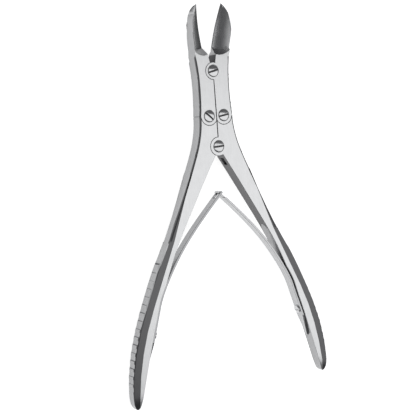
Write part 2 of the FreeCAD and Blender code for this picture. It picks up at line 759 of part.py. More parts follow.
def make_spring_screw(label):
    """Slotted screw whose head stands on the spring; it points down its own Z axis."""
    body = new_body(label)
    head, rise = size("spring_screw_head_radius"), size("spring_screw_head")
    shank, length = size("spring_screw_shank_radius"), size("spring_screw_length")
    under = size("screw_fit")
    wall = rise * 0.55
    edges = outline((0, -length), ("line", (shank, -length)), ("line", (shank, under)),
                    ("line", (head, under)), ("line", (head, wall)), dome_arc(head, wall, rise))
    sketch = add_sketch(body, "profile_sketch", edges, role="XZ_Plane")
    turned = body.newObject("PartDesign::Revolution", "turned")
    turned.Profile = sketch
    turned.ReferenceAxis = (sketch, ["V_Axis"])
    turned.Angle = 360
    DOC.recompute()
    reach, width = head + 1, size("spring_screw_slot") / 2
    slot = add_sketch(body, "driver_slot_sketch",
                      polygon((-width, -reach), (width, -reach), (width, reach), (-width, reach)),
                      along="Sizes.spring_screw_head")
    pocket(body, "driver_slot", slot, "Sizes.spring_screw_slot")
    return body


def make_spring(label, side, hooked):
    """Leaf spring: a bent strip, pointed at the foot, with a fork or a hooked neck on top."""
    body = new_body(label)
    thickness = size("spring_thickness")
    inner_curve, inner_end = spring_curve(0)
    outer_curve, outer_end = spring_curve(thickness)
    foot = size("spring_foot_end")
    straight = along_clamp(foot, 0), along_clamp(foot, thickness)
    top = size("spring_clamp_top")
    loop = [mirrored(inner_curve.copy(), side), mirrored(outer_curve.copy(), side)]
    corners = (end_of(inner_curve), inner_end[:2], outer_end[:2], end_of(outer_curve))
    loop += [Part.LineSegment(flat(a, side), flat(b, side)) for a, b in zip(corners, corners[1:])]
    corners = (along_clamp(top, thickness), straight[1], straight[0], along_clamp(top, 0))
    loop += [Part.LineSegment(flat(a, side), flat(b, side)) for a, b in zip(corners, corners[1:])]
    sketch = add_sketch(body, "strip_sketch", loop, along="-Sizes.spring_foot_width / 2")
    pad(body, "strip", sketch, "Sizes.spring_foot_width")
    DOC.recompute()
    foot_half, top_half = size("spring_foot_width") / 2, size("spring_top_width") / 2
    angle = math.radians(size("spring_crossing_angle"))
    crossing = -size("spring_crossing")
    end = crossing + size("spring_overrun") * math.cos(angle)
    shoulder = -foot + size("spring_foot_taper")
    tip_half = size("spring_foot_tip_half")
    beyond = 2.0
    for face in (1, -1):
        edges = polygon((-foot - beyond, face * (foot_half + beyond)), (-foot - beyond, 0.0),
                        (-foot, 0.0), (-foot + tip_half, face * tip_half), (shoulder, face * foot_half),
                        (-size("spring_screw_drop") + size("spring_screw_head_radius"), face * foot_half),
                        (crossing - size("fork_root"), face * top_half), (end + beyond, face * top_half),
                        (end + beyond, face * (foot_half + beyond)))
        pocket(body, "trim", add_sketch(body, "trim_sketch", edges, role="YZ_Plane"))
    neck = size("tongue_half_width")
    root = crossing - size("fork_root") * math.cos(angle)
    if hooked:
        hook = end - size("hook_length")
        for face in (1, -1):
            edges = polygon((root, face * neck), (hook, face * neck), (hook, face * (top_half + 1)),
                            (root, face * (top_half + 1)))
            pocket(body, "neck", add_sketch(body, "neck_sketch", edges, role="YZ_Plane"))
    else:
        slot = neck + size("fork_gap")
        edges = polygon((root, -slot), (end + beyond, -slot), (end + beyond, slot), (root, slot))
        pocket(body, "fork", add_sketch(body, "fork_sketch", edges, role="YZ_Plane"))
    spring_screw_hole(body, side, f"Sizes.spring_thickness + {2 * PAST}")
    return body


def place(piece, offset, turn=None):
    piece.Placement = Placement(offset, turn or Rotation())


def main():
    fill_sheet()
    pivot_y, link_x, link_y = size("pivot_distance"), size("link_offset"), size("link_rise")
    tip = pivot_y + size("blade_reach") * math.cos(math.radians(size("jaw_half_angle")))
    # The origin is under the middle of the forceps, on the plane that the back face rests on.
    origin = Vector(0, (size("handle_reach") - tip) / 2, size("thickness") / 2)
    jaw_turn = size("jaw_half_angle")
    pieces = []

    for label, side, forked in (("left_handle", -1, False), ("right_handle", 1, True)):
        handle = make_handle(label, side, forked)
        place(handle, origin)
        pieces.append(handle)

    for label, side, forked in (("left_jaw", -1, False), ("right_jaw", 1, True)):
        jaw = make_jaw(label, side, forked)
        place(jaw, origin + Vector(0, pivot_y, 0), Rotation(Vector(0, 0, 1), -side * jaw_turn))
        pieces.append(jaw)

    screws = (("jaw_pivot_screw", (0, pivot_y), 14), ("handle_pivot_screw", (0, 0), 3),
              ("left_link_screw", (-link_x, link_y), -43), ("right_link_screw", (link_x, link_y), 10))
    for label, centre, slot_angle in screws:
        screw = make_pivot_screw(label)
        place(screw, origin + flat(centre), Rotation(Vector(0, 0, 1), slot_angle))
        pieces.append(screw)

    for label, side, hooked in (("left_leaf_spring", -1, False), ("right_leaf_spring", 1, True)):
        spring = make_spring(label, side, hooked)
        place(spring, origin)
        pieces.append(spring)
        screw = make_spring_screw(label.replace("leaf_", "") + "_screw")
        centre, down, into = clamp_line(side)
        away = into * -1
        place(screw, origin + centre, Rotation(down, away.cross(down), away, "ZXY"))
        pieces.append(screw)

    DOC.recompute()
    for item in DOC.Objects:
        if "Invalid" in item.State or "Error" in item.State:
            raise RuntimeError(f"{item.Label}: {item.State}")
    for piece in pieces:
        if piece.Shape.isNull() or not piece.Shape.isValid():
            raise RuntimeError(f"{piece.Label}: no valid shape")
    os.makedirs("parts", exist_ok=True)
    for piece in pieces:
        piece.Shape.exportStep(f"parts/{piece.Label}.step")
        print(piece.Label, len(piece.Shape.Solids), round(piece.Shape.Volume, 3))


main()
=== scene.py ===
import json
import math

import bmesh
import bpy
from bpy.props import FloatProperty, FloatVectorProperty, IntProperty, PointerProperty
from bpy.types import Operator, Panel, PropertyGroup
from mathutils import Matrix, Vector


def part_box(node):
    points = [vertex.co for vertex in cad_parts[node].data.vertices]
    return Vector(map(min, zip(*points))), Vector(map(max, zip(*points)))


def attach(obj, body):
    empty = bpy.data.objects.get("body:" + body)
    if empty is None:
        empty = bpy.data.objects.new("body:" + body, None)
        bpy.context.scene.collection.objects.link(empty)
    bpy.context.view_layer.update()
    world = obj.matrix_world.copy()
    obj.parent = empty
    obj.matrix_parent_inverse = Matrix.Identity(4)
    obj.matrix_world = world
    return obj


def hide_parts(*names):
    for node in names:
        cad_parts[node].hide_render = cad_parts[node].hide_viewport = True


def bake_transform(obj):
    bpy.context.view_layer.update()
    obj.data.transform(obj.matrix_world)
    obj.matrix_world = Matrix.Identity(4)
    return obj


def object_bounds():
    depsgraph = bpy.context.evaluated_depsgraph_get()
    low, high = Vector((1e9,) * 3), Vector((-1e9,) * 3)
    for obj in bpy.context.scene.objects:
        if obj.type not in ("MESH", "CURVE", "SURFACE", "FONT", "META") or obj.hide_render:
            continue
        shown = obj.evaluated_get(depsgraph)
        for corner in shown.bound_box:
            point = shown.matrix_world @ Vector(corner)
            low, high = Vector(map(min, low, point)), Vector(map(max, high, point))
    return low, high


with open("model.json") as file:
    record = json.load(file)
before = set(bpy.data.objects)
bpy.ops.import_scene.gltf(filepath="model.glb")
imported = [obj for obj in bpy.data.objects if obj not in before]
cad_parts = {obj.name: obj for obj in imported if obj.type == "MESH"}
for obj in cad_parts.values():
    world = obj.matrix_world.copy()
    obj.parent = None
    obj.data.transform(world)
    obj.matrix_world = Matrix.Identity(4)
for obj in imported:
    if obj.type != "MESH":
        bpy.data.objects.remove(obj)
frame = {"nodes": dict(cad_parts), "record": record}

bl_info = {
    "name": "Bone Cutting Forceps",
    "version": (1, 0, 0),
    "blender": (4, 5, 0),
    "location": "View3D > Sidebar > Forceps",
    "description": "Finishes the steel of a double action bone cutting forceps and sets its stage",
    "category": "Object",
}

CAD_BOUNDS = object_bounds()
MM = 0.001
MERGE_DISTANCE = 1e-7
JOINTS = {joint["name"]: joint for joint in frame["record"]["behaviour"]["joints"]}
HANDLE_PIVOT = Vector(JOINTS["handle_pivot"]["pos_m"])
LINK_Y = JOINTS["left_link"]["pos_m"][1]
SIDES = (("left", -1), ("right", 1))
# Triangles that meet at less than this angle come from one face of the CAD solid.
FLAT_ANGLE = math.radians(0.5)
# Parts of a face's normal along the thickness: a side wall has less than the first, a ground hollow
# lies between the next two, and a grip's face with less than the last belongs to its bevel.
SIDE_TILT = 0.65
GROUND_TILT = (0.15, 0.985)
GRIP_TILT = 0.997
# Finishes in the order of each piece's material slots; the slot and bevel steels are painted shade, the
# side and ground steels are partly painted shade.
JAW_FINISHES = ("satin", "ground", "side", "slot", "bevel")
HANDLE_FINISHES = ("satin", "side", "bevel", "slot")
SCREW_FINISHES = ("screw", "slot")
# Outer edge of the grips: millimetres below the handle pivot, then from the centre line.
OUTER_EDGE = ((22, 20.5), (38, 28.1), (44, 31.2), (47, 32.7), (50, 34.8), (53, 36.9), (60, 40.2),
              (67, 43.25), (80, 48.45), (92, 52.15), (103.5, 54.25), (112, 54.75), (124, 54.45))
# Section of the grips by the distance in from that edge: shift inwards, then growth in thickness.
SECTION_SHIFT = ((0, 0.87), (0.6, 0.35), (1.67, -0.55), (5.26, -0.82), (8.2, 0))
SECTION_SPREAD = ((0, 2.2), (0.6, 1.9), (1.67, 1.54), (5.26, 1.17), (8.2, 1.17), (11, 1.1))
# The broader section grows between these millimetres below the handle pivot.
GRIP_BLEND = (36, 62)
# The handle's end is rounded between these millimetres below the handle pivot, in so many steps,
# about a line so many millimetres in from the outer edge.
END_ROUNDING = (107.5, 118.2)
END_CUTS = 8
END_HALF_WIDTH = 3.7
# The square of what is left of the section falls by this share, slowly at first with this power.
END_LOSS = 0.9
END_POWER = 4
# Below the handle pivot: first notch, end of the inner wall painted with shade, start of the grip bevel
# painted with shade.
NOTCH_START = 50 * MM
SHADED_INNER_WALL_END = 42 * MM
SHADED_BEVEL_START = 10 * MM
# The broadened grips stay this far inside the front and back faces of the joint.
FACE_CLEARANCE = 0.02 * MM
# Rounding of the long outer edges: its segments, the least turn of such an edge, its least reach.
OUTER_SEGMENTS = 4
OUTER_TURN = math.radians(50)
OUTER_REACH = 5 * MM
# Handle pivot down to the foot of that rounding.
OUTER_FOOT = 40 * MM
# Jaw pivot up to the head of that rounding, where the ground blade starts.
BLADE_START = 6 * MM
# Lean of the blades' back edge by the millimetres above the jaw pivot, as a share of the full lean.
BACK_LEAN = ((6, 0.15), (9.6, 0.65), (14.4, 0.85), (19, 1), (21.5, 1), (24.2, 0.35), (26.3, -0.1),
             (28.1, -0.4), (29.7, -0.5), (31, -0.25), (32.2, 0))
# The lean of the front rim grows, then fades between these heights.
FRONT_LEAN_START = (6 * MM, 12 * MM)
FRONT_LEAN_END = (27 * MM, 33 * MM)
# Strip beside the cutting edge that stays in place, and the narrowest blade.
EDGE_LAND = 0.8 * MM
NARROWEST = 0.1 * MM
# Share of the blade's width from which a point belongs to the outer wall.
WALL_SHARE = 0.97
# Throat between the jaws, whose side walls are painted with shade: lowest and highest point above the jaw
# pivot, and half the width.
THROAT = (3.8 * MM, 7.9 * MM)
THROAT_HALF_WIDTH = 2 * MM
# A pivot screw is at least so long; a spring screw is shorter and its slot gets no painted shade.
PIVOT_SCREW_LENGTH = 6 * MM
# Slot of a pivot screw, painted with shade: least depth of its floor, height of its walls, reach as a share
# of the head.
SLOT_FLOOR_DEPTH = 0.6 * MM
SLOT_WALL_DEPTH = 0.8 * MM
SLOT_REACH = 0.9
# Faces that meet at less than this angle are shaded as one surface.
PLAIN_SMOOTHING = math.radians(9)
JAW_SMOOTHING = math.radians(22)
SCREW_SMOOTHING = math.radians(40)
# Handle pivot down to where the leaf springs cross.
SPRING_CROSSING = 22.4 * MM
# Gap between the forceps and the floor, and half the floor's width in metres.
FLOOR_DROP = 0.05 * MM
FLOOR_REACH = 3.0
# Soft boxes: direction from the origin, width and height.
KEY_LIGHT = ((0.44, -0.1, 0.89), 0.6, 1.2)
FILL_LIGHT = ((0.55, 0.9, 0.35), 0.5, 0.2)
LIGHT_DISTANCE = 0.9
# Room seen in the steel, by the height of the direction.
ROOM_TONES = ((0.0, (0.36, 0.36, 0.36)), (0.45, (0.19, 0.19, 0.195)), (1.0, (0.14, 0.14, 0.145)))
# Pale wall on the left, by the sideways part of the direction from 0 (left) to 1 (right).
PALE_WALL = ((0.08, (0.75, 0.75, 0.75)), (0.22, (0.0, 0.0, 0.0)))


class ForcepsSteel(PropertyGroup):
    satin_color: FloatVectorProperty(
        name="Satin steel", description="Flat front and back faces of jaws and handles",
        subtype="COLOR", size=3, min=0, max=1, default=(0.62, 0.625, 0.63))
    # Side walls: brushed steel, also painted darker than the satin faces as shade.
    brushed_and_shaded_side_color: FloatVectorProperty(
        name="Side steel", description="Brushed side walls of jaws and handles",
        subtype="COLOR", size=3, min=0, max=1, default=(0.37, 0.373, 0.378))
    # Painted shade: near black steel in the screw slots, the throat between the jaws and the flanks of the
    # grip grooves, where shade falls.
    recess_shade_color: FloatVectorProperty(
        name="Slot steel", description="Unpolished inside of the screw slots and of the joints",
        subtype="COLOR", size=3, min=0, max=1, default=(0.10, 0.10, 0.105))
    # Painted shade: near black steel on the grip bevels, the rounded outer edges and the inner walls by the
    # joint, for the dark room they reflect.
    bevel_shade_color: FloatVectorProperty(
        name="Bevel steel", description="Duller bevels beside the grips and along the rounded edges",
        subtype="COLOR", size=3, min=0, max=1, default=(0.115, 0.115, 0.118))
    # One grind in two tones: the left hollow painted dark as shade, the right painted lighter as light;
    # both darker than the satin faces.
    shaded_left_ground_color: FloatVectorProperty(
        name="Left ground steel", description="Concave grind of the left blade",
        subtype="COLOR", size=3, min=0, max=1, default=(0.18, 0.181, 0.184))
    lit_right_ground_color: FloatVectorProperty(
        name="Right ground steel", description="Concave grind of the right blade",
        subtype="COLOR", size=3, min=0, max=1, default=(0.46, 0.464, 0.47))
    # One spring steel in two tones: the left painted darker as shade, the right painted lighter as light.
    shaded_left_spring_color: FloatVectorProperty(
        name="Left spring steel", description="Darker, more heavily brushed leaf spring",
        subtype="COLOR", size=3, min=0, max=1, default=(0.36, 0.363, 0.37))
    lit_right_spring_color: FloatVectorProperty(
        name="Right spring steel", description="Brighter leaf spring",
        subtype="COLOR", size=3, min=0, max=1, default=(0.46, 0.464, 0.47))
    screw_color: FloatVectorProperty(
        name="Screw steel", description="Polished slotted screws",
        subtype="COLOR", size=3, min=0, max=1, default=(0.55, 0.555, 0.56))
    satin_roughness: FloatProperty(
        name="Satin roughness", description="Sheen of the satin faces", min=0, max=1, default=0.3)
    screw_roughness: FloatProperty(
        name="Screw roughness", description="Sheen of the screws", min=0, max=1, default=0.16)


class ForcepsEdges(PropertyGroup):
    body_rounding: FloatProperty(
        name="Body edge rounding", description="Rounding along the edges of jaws and handles",
        subtype="DISTANCE", unit="LENGTH", default=0.14 * MM, precision=5)
    spring_rounding: FloatProperty(
        name="Spring edge rounding", description="Rounding along the edges of the leaf springs",
        subtype="DISTANCE", unit="LENGTH", default=0.12 * MM, precision=5)
    screw_rounding: FloatProperty(
        name="Screw edge rounding", description="Rounding round the screw heads and slots",
        subtype="DISTANCE", unit="LENGTH", default=0.07 * MM, precision=5)
    outer_rounding: FloatProperty(
        name="Outer edge rounding", description="Rounding of the long outer edges round the joint",
        subtype="DISTANCE", unit="LENGTH", default=0.8 * MM, precision=5)
    blade_lean: FloatProperty(
        name="Blade lean", description="Lean of the outer wall of the blades towards the back",
        subtype="DISTANCE", unit="LENGTH", default=1.2 * MM, precision=5)
    left_blade_lean: FloatProperty(
        name="Left blade front", description="Lean of the left blade's front rim towards its edge",
        subtype="DISTANCE", unit="LENGTH", default=1.8 * MM, precision=5)
    grip_breadth: FloatProperty(
        name="Grip breadth", description="Broadening of the serrated crests, as a share",
        subtype="FACTOR", min=0, max=1, default=1)
    hook_shortening: FloatProperty(
        name="Hook shortening", description="Share of the spring ends beyond the crossing that is left",
        subtype="FACTOR", min=0.1, max=1, default=0.35)
    rounding_segments: IntProperty(
        name="Segments", description="Segments of each rounded edge", min=1, max=4, default=2)
    sharp_angle: FloatProperty(
        name="Rounded above", description="Edges that turn by more than this are rounded",
        subtype="ANGLE", unit="ROTATION", default=math.radians(26))
    spring_step: FloatProperty(
        name="Spring cuts", description="Distance between the cross cuts that let a spring bend",
        subtype="DISTANCE", unit="LENGTH", default=2.5 * MM, precision=5)
    spring_clamp_drop: FloatProperty(
        name="Clamp top", description="Handle pivot down to where each spring leaves its handle",
        subtype="DISTANCE", unit="LENGTH", default=64 * MM, precision=4)
    spring_free_drop: FloatProperty(
        name="Bend end", description="Handle pivot down to where a spring stops bending",
        subtype="DISTANCE", unit="LENGTH", default=34 * MM, precision=4)


class ForcepsStage(PropertyGroup):
    camera_yaw: FloatProperty(
        name="Camera yaw", description="Turn of the camera to the left of the front face",
        subtype="ANGLE", unit="ROTATION", default=math.radians(28.5))
    camera_pitch: FloatProperty(
        name="Camera pitch", description="Tilt of the camera towards the grips",
        subtype="ANGLE", unit="ROTATION", default=math.radians(-5.26))
    camera_roll: FloatProperty(
        name="Camera roll", description="Turn of the camera about its own axis",
        subtype="ANGLE", unit="ROTATION", default=math.radians(-4.32))
    camera_distance: FloatProperty(
        name="Camera distance", description="Camera to the point that it looks at",
        subtype="DISTANCE", unit="LENGTH", default=0.5229, precision=4)
    camera_target: FloatVectorProperty(
        name="Camera target", description="Point in the middle of the picture",
        subtype="XYZ", unit="LENGTH", size=3, default=(-0.00604, -0.00345, 0.00304), precision=5)
    camera_lens: FloatProperty(
        name="Lens", description="Focal length on a 36 mm sensor, in millimetres", default=95.2)
    floor_color: FloatVectorProperty(
        name="Floor", description="Plain pale floor",
        subtype="COLOR", size=3, min=0, max=1, default=(0.93, 0.93, 0.93))
    floor_glow: FloatProperty(
        name="Floor glow", description="Share of the white that the floor shows without light",
        min=0, max=1, default=0.8)
    key_power: FloatProperty(
        name="Key light", description="Soft box above and to the right", unit="POWER", default=2.65)
    fill_power: FloatProperty(
        name="Fill light", description="Soft box beyond the blades", unit="POWER", default=0.2)


def settings():
    scene = bpy.context.scene
    return scene.forceps_steel, scene.forceps_edges, scene.forceps_stage


def link(tree, source, output, target, socket):
    tree.links.new(source.outputs[output], target.inputs[socket])


def tone_ramp(tree, stops):
    """Color ramp through these stops of position and colour."""
    node = tree.nodes.new("ShaderNodeValToRGB")
    elements = node.color_ramp.elements
    for element, (position, color) in zip(elements, (stops[0], stops[-1])):
        element.position = position
        element.color = (*color, 1)
    for position, color in stops[1:-1]:
        elements.new(position).color = (*color, 1)
    return node


def math_node(tree, operation, *values):
    """Math node with these numbers on its sockets, from the second one on."""
    node = tree.nodes.new("ShaderNodeMath")
    node.operation = operation
    for socket, value in enumerate(values, start=1):
        node.inputs[socket].default_value = value
    return node


def steel(name, color, roughness, grain=(1.0, 0.06, 1.0), fineness=2600.0, relief=0.06, spread=0.10,
          stain=0.07):
    """Stainless steel: fine grinding lines along the grain, soft patches of duller sheen."""
    material = bpy.data.materials.new(name)
    material.use_nodes = True
    tree = material.node_tree
    shader = tree.nodes["Principled BSDF"]
    shader.inputs["Metallic"].default_value = 1.0
    place = tree.nodes.new("ShaderNodeTexCoord")
    stretch = tree.nodes.new("ShaderNodeMapping")
    stretch.inputs["Scale"].default_value = grain
    link(tree, place, "Object", stretch, "Vector")

    lines = tree.nodes.new("ShaderNodeTexNoise")
    lines.inputs["Scale"].default_value = fineness
    lines.inputs["Detail"].default_value = 3.0
    lines.inputs["Roughness"].default_value = 0.6
    link(tree, stretch, "Vector", lines, "Vector")

    patches = tree.nodes.new("ShaderNodeTexNoise")
    patches.inputs["Scale"].default_value = 260.0
    patches.inputs["Detail"].default_value = 4.0
    link(tree, place, "Object", patches, "Vector")

    sheen = tree.nodes.new("ShaderNodeMapRange")
    sheen.inputs["To Min"].default_value = roughness - spread / 2
    sheen.inputs["To Max"].default_value = roughness + spread / 2
    mixed = tree.nodes.new("ShaderNodeMix")
    mixed.inputs["Factor"].default_value = 0.5
    link(tree, lines, "Fac", mixed, "A")
    link(tree, patches, "Fac", mixed, "B")
    link(tree, mixed, "Result", sheen, "Value")
    link(tree, sheen, "Result", shader, "Roughness")

    dark = [channel * (1 - stain) for channel in color]
    light = [min(channel * (1 + stain), 1.0) for channel in color]
    tint = tone_ramp(tree, ((0.3, dark), (0.7, light)))
    link(tree, mixed, "Result", tint, "Fac")
    link(tree, tint, "Color", shader, "Base Color")

    bump = tree.nodes.new("ShaderNodeBump")
    bump.inputs["Strength"].default_value = relief
    bump.inputs["Distance"].default_value = 0.05 * MM
    link(tree, lines, "Fac", bump, "Height")
    link(tree, bump, "Normal", shader, "Normal")
    return material


def finishes():
    """The steels, made once."""
    colors = settings()[0]
    # The side, bevel, slot, ground and spring steels carry painted shade or painted light in their colours.
    table = {
        "satin_finish": dict(color=colors.satin_color, roughness=colors.satin_roughness),
        "side_finish": dict(color=colors.brushed_and_shaded_side_color, roughness=0.32, relief=0.08, spread=0.14),
        "bevel_finish": dict(color=colors.bevel_shade_color, roughness=0.3),
        "left_ground_finish": dict(color=colors.shaded_left_ground_color, roughness=0.24,
                                  grain=(1.0, 0.15, 1.0), fineness=1800, relief=0.12),
        "right_ground_finish": dict(color=colors.lit_right_ground_color, roughness=0.24,
                                   grain=(1.0, 0.15, 1.0), fineness=1800, relief=0.12),
        "slot_finish": dict(color=colors.recess_shade_color, roughness=0.5, relief=0.1),
        "left_spring_finish": dict(color=colors.shaded_left_spring_color, roughness=0.26, relief=0.05),
        "right_spring_finish": dict(color=colors.lit_right_spring_color, roughness=0.26, relief=0.05),
        "screw_finish": dict(color=colors.screw_color, roughness=colors.screw_roughness,
                             grain=(1.0, 1.0, 1.0), spread=0.05, relief=0.02),
    }
    return {name: bpy.data.materials.get(name) or steel(name, **values)
            for name, values in table.items()}


def finish_list(names, side=""):
    """The steels of these names; the grinds and the springs have one for each side."""
    steels = finishes()
    return [steels.get(name + "_finish") or steels[side + "_" + name + "_finish"] for name in names]


def body_of_node(node):
    bodies = frame["record"]["behaviour"]["bodies"]
    return next(body for body, nodes in bodies.items() if node in nodes)


def merged_copy(node):
    """The CAD node's mesh with its triangles joined into the faces that they came from."""
    mesh = bmesh.new()
    mesh.from_mesh(frame["nodes"][node].data)
    bmesh.ops.remove_doubles(mesh, verts=mesh.verts, dist=MERGE_DISTANCE)
    bmesh.ops.dissolve_limit(mesh, angle_limit=FLAT_ANGLE, verts=mesh.verts, edges=mesh.edges)
    return mesh


def sharp_edges(mesh, angle):
    return [edge for edge in mesh.edges
            if len(edge.link_faces) == 2 and edge.calc_face_angle(0.0) > angle]


def bevel(mesh, edges, width, segments):
    """Rounds these edges and returns the faces that this makes."""
    made = bmesh.ops.bevel(mesh, geom=edges, offset=width, offset_type="OFFSET", segments=segments,
                           profile=0.5, affect="EDGES", clamp_overlap=False, material=-1)
    return made["faces"]


def round_edges(mesh, width, angle, segments):
    bevel(mesh, sharp_edges(mesh, angle), width, segments)


def long_outer_edges(mesh, side, low, high):
    """Edges between front or back and the outer wall, between these two heights."""
    found = []
    for edge in sharp_edges(mesh, OUTER_TURN):
        height = (edge.verts[0].co.y + edge.verts[1].co.y) / 2
        flat, wall = sorted(edge.link_faces, key=lambda face: -abs(face.normal.z))
        outside = min(side * vertex.co.x for vertex in edge.verts) > OUTER_REACH
        square = abs(flat.normal.z) > 0.8 and wall.normal.x * side > 0.8
        if low < height < high and outside and square:
            found.append(edge)
    return found


def round_outer_edges(mesh, side, low, high, finish):
    """Rounds the long outer edges more than the rest and gives them this material slot, the dark bevel
    steel of painted shade.
    """
    edges = settings()[1]
    for face in bevel(mesh, long_outer_edges(mesh, side, low, high), edges.outer_rounding, OUTER_SEGMENTS):
        face.material_index = finish


def ramp(value, start, end):
    """Smooth rise from 0 at the start to 1 at the end."""
    share = min(max((value - start) / (end - start), 0.0), 1.0)
    return share * share * (3 - 2 * share)


def along(table, value):
    """Straight lines between (station, value) pairs, level beyond the ends."""
    if value <= table[0][0]:
        return table[0][1]
    for (start, low), (end, high) in zip(table, table[1:]):
        if value <= end:
            return low + (high - low) * (value - start) / (end - start)
    return table[-1][1]


def blade_outlines(mesh, side, pivot_y):
    """Back edge (by z), outer edge and cutting edge (by reach) of a blade, each along its height."""
    wall = [vertex for vertex in mesh.verts if vertex.co.y > pivot_y + BLADE_START
            and any(face.normal.x * side > 0.45 and abs(face.normal.z) < 0.3 for face in vertex.link_faces)]
    back = sorted((vertex.co.y, vertex.co.z) for vertex in wall
                  if any(face.normal.z < -0.4 for face in vertex.link_faces))
    outer = sorted((vertex.co.y, side * vertex.co.x) for vertex in wall)
    nearest = {}
    for vertex in mesh.verts:
        station = round((vertex.co.y - pivot_y) / MM)
        nearest[station] = min(nearest.get(station, 1.0), side * vertex.co.x)
    cutting = sorted((pivot_y + station * MM, reach) for station, reach in nearest.items())
    return back, outer, cutting


def lean_blade(mesh, side, pivot_y, back_lean, front_lean):
    """Leans the outer wall of a blade: its back edge and its front edge move inwards by these."""
    back_edge, outer_edge, cutting_edge = blade_outlines(mesh, side, pivot_y)
    front = 2 * HANDLE_PIVOT.z
    for vertex in mesh.verts:
        height = vertex.co.y - pivot_y
        if height < BLADE_START:
            continue
        behind = along(back_edge, vertex.co.y)
        depth = min(max((front - vertex.co.z) / (front - behind), 0.0), 1.0)
        inner = along(cutting_edge, vertex.co.y) + EDGE_LAND
        outer = along(outer_edge, vertex.co.y)
        across = (side * vertex.co.x - inner) / max(outer - inner, NARROWEST)
        across = min(max(across, 0.0), 1.0)
        share = ramp(height, *FRONT_LEAN_START) * (1 - ramp(height, *FRONT_LEAN_END))
        lean = front_lean * share * (1 - depth) * across
        if across > WALL_SHARE:
            lean += back_lean * along(BACK_LEAN, height / MM) * depth
        vertex.co.x -= side * lean


def cut_across(mesh, heights):
    """Extra edges right round the mesh at these heights."""
    for height in heights:
        bmesh.ops.bisect_plane(mesh, geom=mesh.verts[:] + mesh.edges[:] + mesh.faces[:],
                               dist=MERGE_DISTANCE, plane_co=(0, height, 0), plane_no=(0, 1, 0))


def shape_grip(mesh, side, grip):
    """Broadens the serrated crest of a grip and rounds the end of the handle."""
    start, end = END_ROUNDING
    cut_across(mesh, [HANDLE_PIVOT.y - (start + (end - start) * index / END_CUTS) * MM
                      for index in range(END_CUTS)])
    limit = HANDLE_PIVOT.z - FACE_CLEARANCE
    for vertex in mesh.verts:
        drop = (HANDLE_PIVOT.y - vertex.co.y) / MM
        share = ramp(drop, *GRIP_BLEND) * grip
        if share == 0:
            continue
        inward = along(OUTER_EDGE, drop) - side * vertex.co.x / MM
        thick = 1 + (along(SECTION_SPREAD, inward) - 1) * share
        inward += along(SECTION_SHIFT, inward) * share
        ending = min(max((drop - start) / (end - start), 0.0), 1.0)
        left = math.sqrt(1 - END_LOSS * ending ** END_POWER)
        inward = END_HALF_WIDTH + (inward - END_HALF_WIDTH) * left
        vertex.co.x = side * (along(OUTER_EDGE, drop) - inward) * MM
        depth = (vertex.co.z - HANDLE_PIVOT.z) * thick * left
        vertex.co.z = HANDLE_PIVOT.z + min(max(depth, -limit), limit)


def is_side(face):
    return abs(face.normal.z) < SIDE_TILT


def jaw_finish(face, side, pivot_y):
    """Name of the finish of a face of a jaw."""
    centre = face.calc_center_median()
    height = centre.y - pivot_y
    # The throat's side walls get the near black steel of painted shade.
    if THROAT[0] < height < THROAT[1] and abs(centre.x) < THROAT_HALF_WIDTH and is_side(face):
        return "slot"
    # Ground hollows get their side's grind steel, painted darker than the satin faces as shade.
    tilted = GROUND_TILT[0] < abs(face.normal.z) < GROUND_TILT[1]
    if height > BLADE_START and tilted and face.normal.x * side < 0.6:
        return "ground"
    return "side" if is_side(face) else "satin"


def handle_finish(face, side):
    """Name of the finish of a face of a handle."""
    drop = HANDLE_PIVOT.y - face.calc_center_median().y
    on_grip = NOTCH_START < drop < END_ROUNDING[0] * MM
    # Flanks of the grip grooves get the near black steel of painted shade.
    if on_grip and abs(face.normal.y) > 0.45 + 0.2 * abs(face.normal.x):
        return "slot"
    # Inner walls by the joint and grip bevels get the dark bevel steel of painted shade.
    inner = face.normal.x * side < -0.3 and drop < SHADED_INNER_WALL_END
    if is_side(face):
        return "bevel" if inner else "side"
    tilted = abs(face.normal.z) < GRIP_TILT and face.normal.x * side > 0.03
    return "bevel" if tilted and drop > SHADED_BEVEL_START else "satin"


def keep_within_bounds(mesh):
    """Moves points outside the part's own box back onto it."""
    for vertex in mesh.verts:
        for axis, (low, high) in enumerate(zip(*CAD_BOUNDS)):
            vertex.co[axis] = min(max(vertex.co[axis], low), high)


def finish_piece(mesh, name, node, materials, smooth_angle=PLAIN_SMOOTHING):
    """Turns the mesh into a piece that stands for the CAD node, within the part's own bounds."""
    keep_within_bounds(mesh)
    data = bpy.data.meshes.new(name)
    mesh.to_mesh(data)
    mesh.free()
    for material in materials:
        data.materials.append(material)
    data.shade_smooth()
    data.set_sharp_from_angle(angle=smooth_angle)
    piece = bpy.data.objects.new(name, data)
    bpy.context.scene.collection.objects.link(piece)
    weighted = piece.modifiers.new("flat faces stay flat", "WEIGHTED_NORMAL")
    weighted.keep_sharp = True
    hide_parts(node)
    return piece


